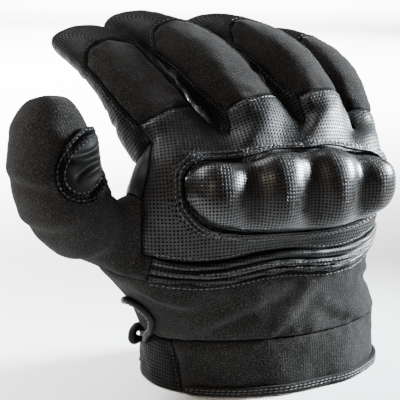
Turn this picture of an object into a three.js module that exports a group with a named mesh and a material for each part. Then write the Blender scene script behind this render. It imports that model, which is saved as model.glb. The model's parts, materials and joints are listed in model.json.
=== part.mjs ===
// A right-hand tactical glove, in the shape it has on a hand with the wrist a little back and the
// fingers curled. Millimetres. +Z runs up out of the cuff, the back of the hand faces -Y, and the thumb
// is on the -X side. The origin is the middle of the wrist opening. Each panel is a thin wall of its own,
// with a seam gap to the next.
import * as THREE from "three";

// Driving dimensions
const WALL = 1.6; // cloth and leather
const WEB_WALL = 0.5; // the same in the folds between the fingers
const SEAM = 0.46; // gap between the edges of two panels
const LIFT = 0.35; // gap under a piece that lies on the panels
const RIM_LIFT = 0.6; // the same under the guard and its border

// The hand from the hem to the finger roots, a row for each section. along: distance up the hand's own
// axis. lean: degrees towards the palm. sway: degrees towards the thumb. over: shift towards the little
// finger. wide, deep: outer size. square: 2 is an ellipse.
const HAND = [
  { along: 0, lean: 0, sway: 0, over: 0, wide: 92, deep: 66, square: 2.2 },
  { along: 11, lean: -2, sway: 0, over: 0, wide: 91, deep: 65, square: 2.2 },
  { along: 22, lean: -5, sway: 0, over: 0, wide: 89, deep: 61, square: 2.2 },
  { along: 30, lean: -10, sway: -1, over: -1, wide: 88, deep: 57, square: 2.3 },
  { along: 38, lean: -15, sway: -2, over: -2, wide: 89, deep: 53, square: 2.4 },
  { along: 46, lean: -18, sway: -2, over: -4, wide: 92, deep: 50, square: 2.5 },
  { along: 55, lean: -20, sway: -2, over: -6, wide: 94, deep: 47, square: 2.6 },
  { along: 63, lean: -20, sway: -1, over: -7, wide: 95, deep: 45, square: 2.6 },
  { along: 70, lean: -15, sway: 0, over: -8, wide: 95, deep: 43, square: 2.6 },
  { along: 77, lean: -2, sway: 2, over: -8, wide: 95, deep: 41, square: 2.6 },
  { along: 82.5, lean: 14, sway: 4, over: -7, wide: 95, deep: 38, square: 2.6 },
  { along: 88, lean: 27, sway: 6, over: -6, wide: 95, deep: 34, square: 2.6 },
  { along: 93, lean: 38, sway: 8, over: -4, wide: 95, deep: 30, square: 2.6 },
];
const ROW = { bandTop: 2, flexLow: 5, flexHigh: 6, thumbLow: 5, thumbHigh: 9, root: 12 };
// How far the last sections of the hand have turned into the finger roots, by row
const ROOT_SHARE = { 10: 0.15, 11: 0.5, 12: 1 };

// Dents and swells. column, row: middle on the hand's grid. out, up: push outwards and along +Z.
// columns, rows: how far it reaches.
const SWELLS = [
  { column: 43.5, row: 4.6, out: 19, up: 0, columns: 4, rows: 1.6 },
  { column: 39, row: 5.5, out: 5, up: 0, columns: 6, rows: 2.6 },
  { column: 44.5, row: 9.4, out: 6, up: 3, columns: 3, rows: 1.5 },
  { column: 43.5, row: 11, out: 8, up: 0, columns: 2.5, rows: 1.6 },
  { column: 21, row: 4.1, out: -4, up: 0, columns: 4, rows: 0.8 },
  { column: 21, row: 2.6, out: 2.5, up: 0, columns: 4, rows: 0.6 },
  { column: 44, row: 1.8, out: 0, up: -4.5, columns: 4, rows: 0.7 },
  { column: 9, row: 3.1, out: 1.6, up: 0, columns: 3.5, rows: 0.5 },
  { column: 14, row: 4.1, out: -1.4, up: 0, columns: 4, rows: 0.5 },
  { column: 20, row: 5.5, out: 0, up: 6.5, columns: 7, rows: 1.3 },
  { column: 9, row: 5.5, out: 0, up: 5.5, columns: 4, rows: 1.2 },
];

// The fingers, a row for each. across, back, ahead: the root's middle from the middle of the last hand
// section, towards the little finger, the back of the hand and the fingertips. wide, deep: outer root size.
// slim: how much of the depth is lost by the tip, beside FINGER_SHAPE. turn: how far the side seams turn
// towards the thumb, as a share of the way round.
const FINGERS = [
  { name: "index", across: -33.5, back: -1, ahead: 3, wide: 28, deep: 21, length: 78, slim: 0.2, turn: 0.04 },
  { name: "middle", across: -4.6, back: 2, ahead: -3, wide: 28.5, deep: 26, length: 90, slim: 0, turn: 0.07 },
  { name: "ring", across: 21.4, back: 1, ahead: -4, wide: 26.6, deep: 25, length: 83, slim: 0, turn: 0.1 },
  { name: "little", across: 39.5, back: -11, ahead: -6, wide: 22, deep: 23, length: 68, slim: 0, turn: 0.1 },
];
const TURN_ROWS = 3; // rows over which the side seams turn
const FINGER_GAP = 0.7; // between fingers that lie against each other
// How each of them is held, in degrees and in the same order. lean: towards the palm at the root.
// splay: towards the little finger. roll: turn about its own axis. middle, tip: bends at its two joints.
const CURLS = [
  { lean: 44, splay: -8.5, roll: 2, middle: 14, tip: 24 },
  { lean: 42, splay: -6, roll: 17, middle: 26, tip: 14 },
  { lean: 41, splay: 0, roll: 28, middle: 31, tip: 18 },
  { lean: 30, splay: 4, roll: 35, middle: 35, tip: 22 },
];
// Outer size along a finger, as shares of its length and of its root size
const FINGER_SHAPE = [
  { at: 0, wide: 0.94, deep: 1.02 },
  { at: 0.15, wide: 0.96, deep: 0.96 },
  { at: 0.35, wide: 1, deep: 0.88 },
  { at: 0.6, wide: 0.96, deep: 0.78 },
  { at: 0.8, wide: 0.86, deep: 0.69 },
  { at: 0.92, wide: 0.68, deep: 0.54 },
  { at: 0.98, wide: 0.42, deep: 0.34 },
  { at: 1, wide: 0.3, deep: 0.24 },
];
const FINGER_STOPS = [0, 0.11, 0.21, 0.31, 0.41, 0.51, 0.61, 0.71, 0.8, 0.88, 0.945, 0.985];
// Where a finger's two joints lie, and over how much of it each bend spreads, as shares of its length
const JOINTS = { middle: 0.36, tip: 0.68, soft: 0.2 };
const SECTION = 2.3; // squareness of the fingers' and the thumb's sections
const CAP_ROUND = 0.25; // how far the end of a finger swells towards its middle point
// The knitted back of a finger ends in a round edge at this row, drawn back by these shares of a row from
// side to side
const TIP_ROW = 6;
const TIP_ROUND = [0.75, 0.2, 0, 0, 0.2, 0.75];
// Fuller places on the fingers. place, row: middle on the finger's own grid, round it and along it
const FINGER_SWELLS = [{ name: "index", place: 12.5, row: 1.2, out: 4.5, places: 2.2, rows: 2 }];
const WEB_DROP = [9, 6, 3, 1]; // how far each web lies towards the wrist, from the back to the palm

// The thumb's centre line and outer size from its root
const THUMB = [
  { x: -66, y: -6, z: 55, wide: 36, deep: 34 },
  { x: -75, y: -8, z: 65, wide: 32, deep: 31 },
  { x: -83, y: -8, z: 77, wide: 29, deep: 28 },
  { x: -84, y: -6, z: 90, wide: 31, deep: 28 },
  { x: -83, y: -4, z: 107, wide: 31, deep: 24 },
];
const THUMB_STOPS = [0, 0.12, 0.24, 0.36, 0.48, 0.6, 0.72, 0.83, 0.92, 0.98];
const THUMB_PAD = new THREE.Vector3(0.9, 0.35, 0.25); // the way its pad faces
const THUMB_EASE = [0.45, 0.8]; // how far its first rings have left the shape of its root
// How its end rounds off
const THUMB_ROUND = [
  { at: 0, size: 1 },
  { at: 0.8, size: 1 },
  { at: 0.9, size: 0.86 },
  { at: 0.96, size: 0.64 },
  { at: 1, size: 0.36 },
];

// The padded guard over the knuckles. column: station along it. low, high: the rows that its edges
// follow. rise: height over its rim.
const GUARD = [
  { column: 2.4, low: 8.9, high: 9.35, rise: 0 },
  { column: 2.9, low: 8.45, high: 9.75, rise: 4 },
  { column: 3.5, low: 8.15, high: 9.95, rise: 7 },
  { column: 4.4, low: 7.9, high: 10.05, rise: 8.5 },
  { column: 5.5, low: 7.78, high: 10, rise: 7.5 },
  { column: 6.4, low: 7.72, high: 9.9, rise: 5 },
  { column: 7.3, low: 7.66, high: 10.1, rise: 7.5 },
  { column: 8.4, low: 7.6, high: 10.2, rise: 9 },
  { column: 9.7, low: 7.55, high: 10.15, rise: 8 },
  { column: 10.9, low: 7.52, high: 9.92, rise: 5 },
  { column: 11.7, low: 7.5, high: 10.05, rise: 7.5 },
  { column: 12.7, low: 7.5, high: 10.05, rise: 9 },
  { column: 13.8, low: 7.52, high: 9.95, rise: 8 },
  { column: 14.9, low: 7.6, high: 9.78, rise: 5 },
  { column: 15.8, low: 7.68, high: 9.75, rise: 7.5 },
  { column: 16.9, low: 7.75, high: 9.65, rise: 8.5 },
  { column: 17.8, low: 7.9, high: 9.45, rise: 6.5 },
  { column: 18.6, low: 8.1, high: 9.2, rise: 4 },
  { column: 19.1, low: 8.4, high: 8.9, rise: 0 },
];
// Height across a dome from its lower edge to its upper one, as shares
const DOME = [
  { at: 0, rise: 0 },
  { at: 0.08, rise: 0.55 },
  { at: 0.2, rise: 0.84 },
  { at: 0.35, rise: 0.97 },
  { at: 0.5, rise: 1 },
  { at: 0.65, rise: 0.97 },
  { at: 0.8, rise: 0.84 },
  { at: 0.92, rise: 0.55 },
  { at: 1, rise: 0 },
];
const GUARD_RIM = 1.6;
// The flat leather border round the guard: its outer edge
const BORDER = [
  { column: 1.4, low: 8.85, high: 9.35 },
  { column: 1.75, low: 8.45, high: 9.8 },
  { column: 2.6, low: 7.95, high: 10.2 },
  { column: 4.1, low: 7.55, high: 10.45 },
  { column: 5.8, low: 7.38, high: 10.35 },
  { column: 8, low: 7.25, high: 10.42 },
  { column: 10.8, low: 7.15, high: 10.35 },
  { column: 13.8, low: 7.2, high: 10.2 },
  { column: 16.9, low: 7.4, high: 9.95 },
  { column: 18.7, low: 7.75, high: 9.6 },
  { column: 19.5, low: 8.2, high: 9.15 },
  { column: 19.8, low: 8.5, high: 8.8 },
];
const BORDER_WALL = 1.2;
const BORDER_LIFT = 0.9;
const BORDER_STEPS = 26;
const BORDER_GAP = 0.12; // between guard and border, in rows and columns of the grid

const FLEX = { ridges: 3, rise: 1.5, endLean: 0.45 }; // the stretch ridges below the knuckles
const BINDING = { low: 0.02, high: 0.3, wall: 1 }; // the folded edge round the hem, in rows of the grid
const TAB_EDGE = [0.88, 0.4, -0.12]; // how far the edge of the cuff's tab leans over, by row

// The leather patch in the crook of the thumb. row: along the thumb. low, high: places round it.
const PATCH = [
  { row: 4.15, low: 6.6, high: 8.2 },
  { row: 4.5, low: 5.6, high: 9.2 },
  { row: 5, low: 5.1, high: 9.9 },
  { row: 5.6, low: 5, high: 10.2 },
  { row: 6.25, low: 5.5, high: 10.2 },
  { row: 6.9, low: 6.4, high: 9.9 },
  { row: 7.4, low: 7.6, high: 9.2 },
];
const PATCH_WALL = 1;

// The bound edge beside the wrist, from the thumb round to the cuff, and the small pull loop that stands
// out of it
const VENT = [
  { column: -1.5, row: 3.4 },
  { column: -0.5, row: 3.4 },
  { column: -0.05, row: 3.15 },
  { column: 0.1, row: 2.8 },
  { column: -0.3, row: 2.4 },
  { column: -1.1, row: 2.1 },
  { column: -1.9, row: 1.9 },
];
const VENT_EDGE = { wide: 3.6, deep: 1.8 };
const LOOP = { column: -3.4, row: 1.6, out: 4, across: 4, tall: 8.5, wall: 1.4 };

// The grid: edges across each finger's back or palm, and between back and palm
const ACROSS = 5;
const BETWEEN = 3;
const COLUMNS = 2 * (4 * ACROSS + BETWEEN);
const FINGER_RING = 2 * (ACROSS + BETWEEN);
const THUMB_LEFT = COLUMNS - BETWEEN - 2; // palm-side column of the thumb's root
const THUMB_RIGHT = 0; // back-side column of the thumb's root

const radians = THREE.MathUtils.degToRad;
const mix = (a, b, share) => a + (b - a) * share;
const wrap = (column) => ((column % COLUMNS) + COLUMNS) % COLUMNS;

// The value of each named column of a table at a place along it, between its rows
function between(table, key, place) {
  let i = 0;
  while (i < table.length - 2 && place > table[i + 1][key]) i++;
  const share = (place - table[i][key]) / (table[i + 1][key] - table[i][key]);
  const row = {};
  for (const name of Object.keys(table[i])) row[name] = mix(table[i][name], table[i + 1][name], share);
  return row;
}

// Points at equal steps round a squared ellipse, counterclockwise about e1 x e2, from a share of its way
// round
function ring(centre, e1, e2, wide, deep, square, count, start) {
  const DENSE = 360;
  const outline = [];
  for (let i = 0; i <= DENSE; i++) {
    const angle = (i / DENSE) * 2 * Math.PI;
    const c = Math.cos(angle);
    const s = Math.sin(angle);
    const x = (wide / 2) * Math.sign(c) * Math.abs(c) ** (2 / square);
    const y = (deep / 2) * Math.sign(s) * Math.abs(s) ** (2 / square);
    outline.push(new THREE.Vector2(x, y));
  }
  const travelled = [0];
  for (let i = 1; i <= DENSE; i++) {
    const step = outline[i].distanceTo(outline[i - 1]);
    travelled.push(travelled[i - 1] + step);
  }
  const total = travelled[DENSE];
  const points = [];
  for (let k = 0; k < count; k++) {
    const share = (((start + k / count) % 1) + 1) % 1;
    let i = 0;
    while (travelled[i + 1] < share * total) i++;
    const part = (share * total - travelled[i]) / (travelled[i + 1] - travelled[i]);
    const p = outline[i].clone().lerp(outline[i + 1], part);
    points.push(centre.clone().addScaledVector(e1, p.x).addScaledVector(e2, p.y));
  }
  return points;
}

// Axes of a section: across to the little-finger side, towards the palm, and along
function axes(lean, sway) {
  const turn = new THREE.Euler(-radians(lean), -radians(sway), 0, "YXZ");
  const along = new THREE.Vector3(0, 0, 1).applyEuler(turn);
  const across = new THREE.Vector3(1, 0, 0).applyEuler(turn);
  return { across, palm: along.clone().cross(across), along };
}

// The whole outer surface as one grid of vertices and tagged four-sided faces
const vertices = [];
const faces = [];
const addVertex = (point) => vertices.push(point.clone()) - 1;
const addFace = (corners, tag) => faces.push({ corners, ...tag });

// Hand sections: centres follow the leaning axis
const frames = [];
HAND.forEach((row, i) => {
  const frame = axes(row.lean, row.sway);
  if (i === 0) frame.centre = new THREE.Vector3(0, 0, 0);
  else {
    const half = frames[i - 1].along.clone().add(frame.along).normalize();
    frame.centre = frames[i - 1].centre.clone().addScaledVector(half, row.along - HAND[i - 1].along);
    frame.centre.addScaledVector(frame.across, row.over - HAND[i - 1].over);
  }
  frames.push(frame);
});
const rootFrame = frames[ROW.root];

// A finger's sections, each a centre with its axes and size
function fingerSections(finger, curl) {
  const splay = new THREE.Quaternion().setFromAxisAngle(rootFrame.palm, radians(curl.splay));
  const straight = rootFrame.along.clone().applyQuaternion(splay);
  const side = rootFrame.across.clone().applyQuaternion(splay);
  side.applyAxisAngle(straight, radians(curl.roll));
  const centre = rootFrame.centre
    .clone()
    .addScaledVector(rootFrame.across, finger.across)
    .addScaledVector(rootFrame.palm, -finger.back)
    .addScaledVector(rootFrame.along, finger.ahead);
  const leanAt = (share) => {
    const reach = JOINTS.soft / 2;
    const bend = (joint) => THREE.MathUtils.smoothstep(share, joint - reach, joint + reach);
    const root = curl.lean - HAND[ROW.root].lean;
    return root + curl.middle * bend(JOINTS.middle) + curl.tip * bend(JOINTS.tip);
  };
  const sections = [];
  const STEPS = 200;
  let next = 0;
  for (let i = 0; i <= STEPS; i++) {
    const share = i / STEPS;
    const bend = new THREE.Quaternion().setFromAxisAngle(side, -radians(leanAt(share)));
    const along = straight.clone().applyQuaternion(bend);
    if (next < FINGER_STOPS.length && share >= FINGER_STOPS[next] - 1e-9) {
      const shape = between(FINGER_SHAPE, "at", share);
      sections.push({
        centre: centre.clone(),
        across: side,
        palm: along.clone().cross(side),
        along,
        wide: finger.wide * shape.wide,
        deep: finger.deep * shape.deep * (1 - finger.slim * share),
      });
      next++;
    }
    centre.addScaledVector(along, finger.length / STEPS);
  }
  return sections;
}

const SIDE_START = 0.5; // the thumb side of a section, as a share of the way round
const fingerRings = FINGERS.map((finger, f) => {
  const sections = fingerSections(finger, CURLS[f]);
  const rings = sections.map((s, i) => {
    const turned = finger.turn * THREE.MathUtils.smoothstep(i, 0, TURN_ROWS);
    const start = SIDE_START + BETWEEN / 2 / FINGER_RING - turned;
    return ring(s.centre, s.across, s.palm, s.wide, s.deep, SECTION, FINGER_RING, start);
  });
  for (const swell of FINGER_SWELLS.filter((row) => row.name === finger.name))
    rings.forEach((points, j) =>
      points.forEach((p, k) => {
        const around = Math.abs(k - swell.place) / swell.places;
        const along = (j - swell.row) / swell.rows;
        const outward = p.clone().sub(sections[j].centre).normalize();
        p.addScaledVector(outward, swell.out * Math.exp(-around * around - along * along));
      }),
    );
  TIP_ROUND.forEach((share, k) => rings[TIP_ROW][k].lerp(rings[TIP_ROW - 1][k], share));
  return { finger, sections, rings };
});

// The point nearest to another on a finger's centre line, and the finger's half width there
function nearestOn(sections, point) {
  let best = { far: Infinity };
  for (let i = 0; i + 1 < sections.length; i++) {
    const line = new THREE.Line3(sections[i].centre, sections[i + 1].centre);
    const place = line.closestPointToPoint(point, true, new THREE.Vector3());
    const far = place.distanceTo(point);
    if (far < best.far) best = { far, place, half: sections[i].wide / 2 };
  }
  return best;
}

// Fingers that lie against each other are flattened between them
function pressFlat(own, other) {
  own.sections.forEach((section, j) => {
    if (j === 0) return;
    const { far, place, half } = nearestOn(other.sections, section.centre);
    const towards = place.sub(section.centre).normalize();
    const limit = (far * section.wide) / (section.wide + 2 * half) - FINGER_GAP / 2;
    for (const p of own.rings[j]) {
      const over = p.clone().sub(section.centre).dot(towards) - limit;
      if (over > 0) p.addScaledVector(towards, -over);
    }
  });
}
for (let f = 1; f < FINGERS.length; f++) {
  pressFlat(fingerRings[f - 1], fingerRings[f]);
  pressFlat(fingerRings[f], fingerRings[f - 1]);
}

// The root row: each finger's first ring, with the neighbours' sides brought together at the webs
const rootPoints = new Array(COLUMNS);
const webPoints = [];
fingerRings.forEach(({ rings }, f) => {
  const first = rings[0];
  for (let k = 1; k < ACROSS; k++) {
    rootPoints[f * ACROSS + k] = first[k];
    rootPoints[COLUMNS - BETWEEN - f * ACROSS - k] = first[FINGER_RING - BETWEEN - k];
  }
  if (f === 0) {
    rootPoints[0] = first[0];
    rootPoints[COLUMNS - BETWEEN] = first[FINGER_RING - BETWEEN];
    for (let s = 1; s < BETWEEN; s++) rootPoints[COLUMNS - s] = first[FINGER_RING - s];
  } else {
    const left = fingerRings[f - 1].rings[0];
    const web = [];
    for (let s = 0; s <= BETWEEN; s++) {
      const here = s === 0 ? first[0] : first[FINGER_RING - s];
      web.push(left[ACROSS + s].clone().lerp(here, 0.5).addScaledVector(rootFrame.along, -WEB_DROP[s]));
    }
    rootPoints[f * ACROSS] = web[0];
    rootPoints[COLUMNS - BETWEEN - f * ACROSS] = web[BETWEEN];
    webPoints.push(web);
  }
  if (f === FINGERS.length - 1)
    for (let s = 0; s <= BETWEEN; s++) rootPoints[FINGERS.length * ACROSS + s] = first[ACROSS + s];
});

// The hand's rows, which turn into the root row over the last sections
const handPoints = HAND.map((row, j) => {
  const { centre, across, palm } = frames[j];
  const start = SIDE_START + BETWEEN / 2 / COLUMNS;
  const points = ring(centre, across, palm, row.wide, row.deep, row.square, COLUMNS, start);
  const toRoot = ROOT_SHARE[j] ?? 0;
  const step = centre.clone().sub(rootFrame.centre);
  return points.map((p, c) => {
    const outward = p.clone().sub(centre).normalize();
    for (const swell of SWELLS) {
      const dc = Math.abs(wrap(c - swell.column + COLUMNS / 2) - COLUMNS / 2) / swell.columns;
      const dr = (j - swell.row) / swell.rows;
      const share = Math.exp(-dc * dc - dr * dr);
      p.addScaledVector(outward, swell.out * share);
      p.z += swell.up * share;
    }
    return toRoot ? p.lerp(rootPoints[c].clone().add(step), toRoot) : p;
  });
});
const hand = handPoints.map((points) => points.map(addVertex));
const handAt = (column, row) => hand[row][wrap(column)];
const inThumbRoot = (c, j) => {
  const fromLeft = wrap(c - THUMB_LEFT);
  return fromLeft < wrap(THUMB_RIGHT - THUMB_LEFT) && j >= ROW.thumbLow && j < ROW.thumbHigh;
};
// The edges of the cuff's tab and of the flex band lean over
TAB_EDGE.forEach((lean, j) => {
  const next = vertices[handAt(lean > 0 ? 2 : 0, j)];
  vertices[handAt(1, j)].lerp(next, Math.abs(lean));
});
vertices[handAt(0, ROW.flexHigh)].lerp(vertices[handAt(1, ROW.flexHigh)], FLEX.endLean);
const inFlex = (c, j) => j === ROW.flexLow && c > 0 && c < 4 * ACROSS;
for (let j = 0; j < ROW.root; j++)
  for (let c = 0; c < COLUMNS; c++) {
    if (inThumbRoot(c, j) || inFlex(c, j)) continue;
    const corners = [handAt(c, j), handAt(c + 1, j), handAt(c + 1, j + 1), handAt(c, j + 1)];
    addFace(corners, { on: "hand", c, j });
  }

// Joins two rings of vertices with faces
function tube(lower, upper, tag) {
  const n = lower.length;
  for (let k = 0; k < n; k++)
    addFace([lower[k], lower[(k + 1) % n], upper[(k + 1) % n], upper[k]], { ...tag, k });
}

// Closes a ring with a grid that has `first` edges on its first side and `second` on the next
function cap(rim, first, second, middle, tag) {
  const grid = [];
  const n = rim.length;
  for (let b = 0; b <= second; b++) {
    const row = [];
    for (let a = 0; a <= first; a++) {
      if (b === 0) row.push(rim[a]);
      else if (a === first) row.push(rim[first + b]);
      else if (b === second) row.push(rim[(2 * first + second - a) % n]);
      else if (a === 0) row.push(rim[n - b]);
      else {
        const far = vertices[rim[(2 * first + second - a) % n]];
        const flat = vertices[rim[a]].clone().lerp(far, b / second);
        row.push(addVertex(flat.lerp(middle, CAP_ROUND)));
      }
    }
    grid.push(row);
  }
  for (let b = 0; b < second; b++)
    for (let a = 0; a < first; a++)
      addFace([grid[b][a], grid[b][a + 1], grid[b + 1][a + 1], grid[b + 1][a]], { ...tag, a, b });
}

const webs = webPoints.map((web) => web.slice(1, BETWEEN).map(addVertex));
fingerRings.forEach(({ finger, sections, rings }, f) => {
  const root = [];
  for (let k = 0; k <= ACROSS; k++) root.push(handAt(f * ACROSS + k, ROW.root));
  for (let s = 1; s < BETWEEN; s++)
    root.push(f === FINGERS.length - 1 ? handAt((f + 1) * ACROSS + s, ROW.root) : webs[f][s - 1]);
  for (let k = ACROSS; k >= 0; k--) root.push(handAt(COLUMNS - BETWEEN - f * ACROSS - k, ROW.root));
  for (let s = BETWEEN - 1; s > 0; s--)
    root.push(f === 0 ? handAt(COLUMNS - s, ROW.root) : webs[f - 1][s - 1]);
  let lower = root;
  rings.slice(1).forEach((points, i) => {
    const upper = points.map(addVertex);
    tube(lower, upper, { on: finger.name, row: i });
    lower = upper;
  });
  const last = sections[sections.length - 1];
  const middle = last.centre.clone().addScaledVector(last.along, finger.length * 0.02);
  cap(lower, ACROSS, BETWEEN, middle, { on: finger.name, row: rings.length });
});

// The thumb grows out of the gap left on the hand's side
const thumbWide = wrap(THUMB_RIGHT - THUMB_LEFT);
const thumbTall = ROW.thumbHigh - ROW.thumbLow;
const thumbRoot = [];
for (let a = 0; a < thumbWide; a++) thumbRoot.push(handAt(THUMB_LEFT + a, ROW.thumbLow));
for (let b = 0; b < thumbTall; b++) thumbRoot.push(handAt(THUMB_RIGHT, ROW.thumbLow + b));
for (let a = 0; a < thumbWide; a++) thumbRoot.push(handAt(THUMB_RIGHT - a, ROW.thumbHigh));
for (let b = 0; b < thumbTall; b++) thumbRoot.push(handAt(THUMB_LEFT, ROW.thumbHigh - b));
const THUMB_RING = thumbRoot.length;
const middleOf = (ids) => {
  const sum = new THREE.Vector3();
  for (const v of ids) sum.add(vertices[v]);
  return sum.divideScalar(ids.length);
};
const rootMiddle = middleOf(thumbRoot);
const thumbPoints = THUMB.map((r) => new THREE.Vector3(r.x, r.y, r.z));
const thumbLine = new THREE.CatmullRomCurve3([rootMiddle, ...thumbPoints]);
const thumbRings = THUMB_STOPS.slice(1).map((share) => {
  const along = thumbLine.getTangent(share);
  const pad = THUMB_PAD.clone().addScaledVector(along, -THUMB_PAD.dot(along)).normalize();
  const back = pad.clone().cross(along);
  const place = Math.max(0, share * THUMB.length - 1);
  const i = Math.min(THUMB.length - 2, Math.floor(place));
  const size = between(THUMB_ROUND, "at", share).size;
  const wide = mix(THUMB[i].wide, THUMB[i + 1].wide, place - i) * size;
  const deep = mix(THUMB[i].deep, THUMB[i + 1].deep, place - i) * size;
  const start = 0.75 - thumbWide / 2 / THUMB_RING;
  return ring(thumbLine.getPoint(share), back, pad, wide, deep, SECTION, THUMB_RING, start);
});
// The first rings ease out of the shape of the gap
THUMB_EASE.forEach((share, i) => {
  const along = thumbLine.getPoint(THUMB_STOPS[i + 1]).sub(rootMiddle);
  thumbRings[i].forEach((p, k) => {
    const straight = vertices[thumbRoot[k]].clone().add(along);
    p.lerp(straight, 1 - share);
  });
});
const thumbLoops = [thumbRoot];
thumbRings.forEach((points, row) => {
  const upper = points.map(addVertex);
  tube(thumbLoops[row], upper, { on: "thumb", row });
  thumbLoops.push(upper);
});
const thumbEnd = thumbLine.getPoint(1).addScaledVector(thumbLine.getTangent(1), 2);
const lastRow = thumbRings.length;
cap(thumbLoops[lastRow], thumbWide, thumbTall, thumbEnd, { on: "thumb", row: lastRow });

// Evens out the surface round the roots of the thumb and fingers
const near = new Map(vertices.map((v, i) => [i, new Set()]));
for (const { corners } of faces)
  corners.forEach((v, i) => near.get(v).add(corners[(i + 1) % 4]).add(corners[(i + 3) % 4]));
function relax(chosen, share, rounds) {
  for (let round = 0; round < rounds; round++) {
    const moved = chosen.map((v) => {
      const mean = middleOf([...near.get(v)]);
      return vertices[v].clone().lerp(mean, share);
    });
    chosen.forEach((v, i) => vertices[v].copy(moved[i]));
  }
}
const thumbBase = new Set(faces.filter((f) => f.on === "thumb" && f.row < 3).flatMap((f) => f.corners));
for (const v of thumbRoot) for (const i of near.get(v)) thumbBase.add(i);
const flexEdge = new Set();
for (const j of [ROW.flexLow, ROW.flexHigh]) for (let c = 0; c < 4; c++) flexEdge.add(handAt(c, j));
relax([...thumbBase].filter((v) => !flexEdge.has(v)), 0.5, 5);
const web = [-5, -4, -3, -2, -1, 0].map((c) => handAt(c, ROW.thumbHigh));
relax([...new Set(web.flatMap((v) => [v, ...near.get(v)]))], 0.5, 5);
relax(hand.slice(ROW.root - 2).flat(), 0.35, 2);

// The flex band is split lengthwise, and every second line of it is raised
const flexLines = [];
for (let line = 0; line <= 2 * FLEX.ridges; line++) {
  const row = [];
  for (let c = 1; c <= 4 * ACROSS; c++) {
    const low = handAt(c, ROW.flexLow);
    const high = handAt(c, ROW.flexHigh);
    if (line === 0) row.push(low);
    else if (line === 2 * FLEX.ridges) row.push(high);
    else {
      const p = vertices[low].clone().lerp(vertices[high], line / (2 * FLEX.ridges));
      const outward = p.clone().sub(frames[ROW.flexLow].centre).setZ(0).normalize();
      const ends = Math.min(1, (c - 1) / 2, (4 * ACROSS - c) / 2);
      row.push(addVertex(p.addScaledVector(outward, line % 2 ? FLEX.rise * ends : 0)));
    }
  }
  flexLines.push(row);
}
for (let line = 0; line < 2 * FLEX.ridges; line++)
  for (let i = 0; i < 4 * ACROSS - 1; i++) {
    const lower = flexLines[line];
    const upper = flexLines[line + 1];
    addFace([lower[i], lower[i + 1], upper[i + 1], upper[i]], { on: "flex" });
  }

// Outward normals of the whole surface
const normals = vertices.map(() => new THREE.Vector3());
for (const { corners } of faces) {
  const [a, b, c, d] = corners.map((i) => vertices[i]);
  const n = c.clone().sub(a).cross(d.clone().sub(b));
  corners.forEach((i) => normals[i].add(n));
}
normals.forEach((n) => n.normalize());

// Thinner where the panels meet in the folds between the fingers
const atWeb = new Set(webs.flat());
for (let f = 1; f < FINGERS.length; f++) {
  atWeb.add(handAt(f * ACROSS, ROW.root));
  atWeb.add(handAt(-BETWEEN - f * ACROSS, ROW.root));
}
for (const v of [...atWeb]) for (const i of near.get(v)) atWeb.add(i);

// A panel: the faces it covers, as a wall between the outer surface and an inner one
function wallOf(chosen, { out = 0, wall = WALL, gap = SEAM / 2 } = {}) {
  const edges = new Map();
  const around = new Map();
  for (const { corners } of chosen)
    corners.forEach((a, i) => {
      const b = corners[(i + 1) % 4];
      edges.set(a + ">" + b, [a, b]);
      if (!around.has(a)) around.set(a, new THREE.Vector3());
    });
  const rim = [...edges.values()].filter(([a, b]) => !edges.has(b + ">" + a));
  // Edge vertices draw back from the seam, square to the edges they end
  for (const [a, b] of rim) {
    const edge = vertices[b].clone().sub(vertices[a]);
    const inwards = normals[a].clone().add(normals[b]).cross(edge).normalize();
    around.get(a).add(inwards);
    around.get(b).add(inwards);
  }
  const place = new Map();
  const outer = [];
  const inner = [];
  for (const [v, inwards] of around) {
    place.set(v, outer.length);
    const p = vertices[v].clone();
    if (inwards.lengthSq() > 1e-6) p.addScaledVector(inwards.normalize(), gap);
    outer.push(p.clone().addScaledVector(normals[v], out));
    inner.push(p.clone().addScaledVector(normals[v], atWeb.has(v) ? -WEB_WALL : -wall));
  }
  const n = outer.length;
  const index = [];
  const flat = (a, b, c, d) => index.push(a, b, c, a, c, d);
  for (const { corners } of chosen) {
    const [a, b, c, d] = corners.map((v) => place.get(v));
    flat(a, b, c, d);
    flat(n + d, n + c, n + b, n + a);
  }
  for (const [va, vb] of rim) {
    const a = place.get(va);
    const b = place.get(vb);
    flat(b, a, n + a, n + b);
  }
  return geometryOf([...outer, ...inner], index);
}

function geometryOf(points, index) {
  const geometry = new THREE.BufferGeometry().setFromPoints(points);
  geometry.setIndex(index);
  return geometry;
}

// A place on a grid of vertices, on the faces as they are drawn, with the normal there
function onGrid(at, u, v, lift) {
  const i = Math.floor(u + 1e-9);
  const j = Math.floor(v + 1e-9);
  const x = u - i;
  const y = v - j;
  const ids = [at(i, j), at(i + 1, j), at(i + 1, j + 1), at(i, j + 1)];
  const weights = y <= x ? [1 - x, x - y, y, 0] : [1 - y, 0, x, y - x];
  const point = new THREE.Vector3();
  const normal = new THREE.Vector3();
  ids.forEach((id, k) => {
    point.addScaledVector(vertices[id], weights[k]);
    normal.addScaledVector(normals[id], weights[k]);
  });
  return point.addScaledVector(normal.normalize(), lift);
}
const onHand = (column, row, lift) => onGrid(handAt, column, row, lift);
const onThumb = (place, row, lift) => onGrid((k, r) => thumbLoops[r][k % THUMB_RING], place, row, lift);

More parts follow.
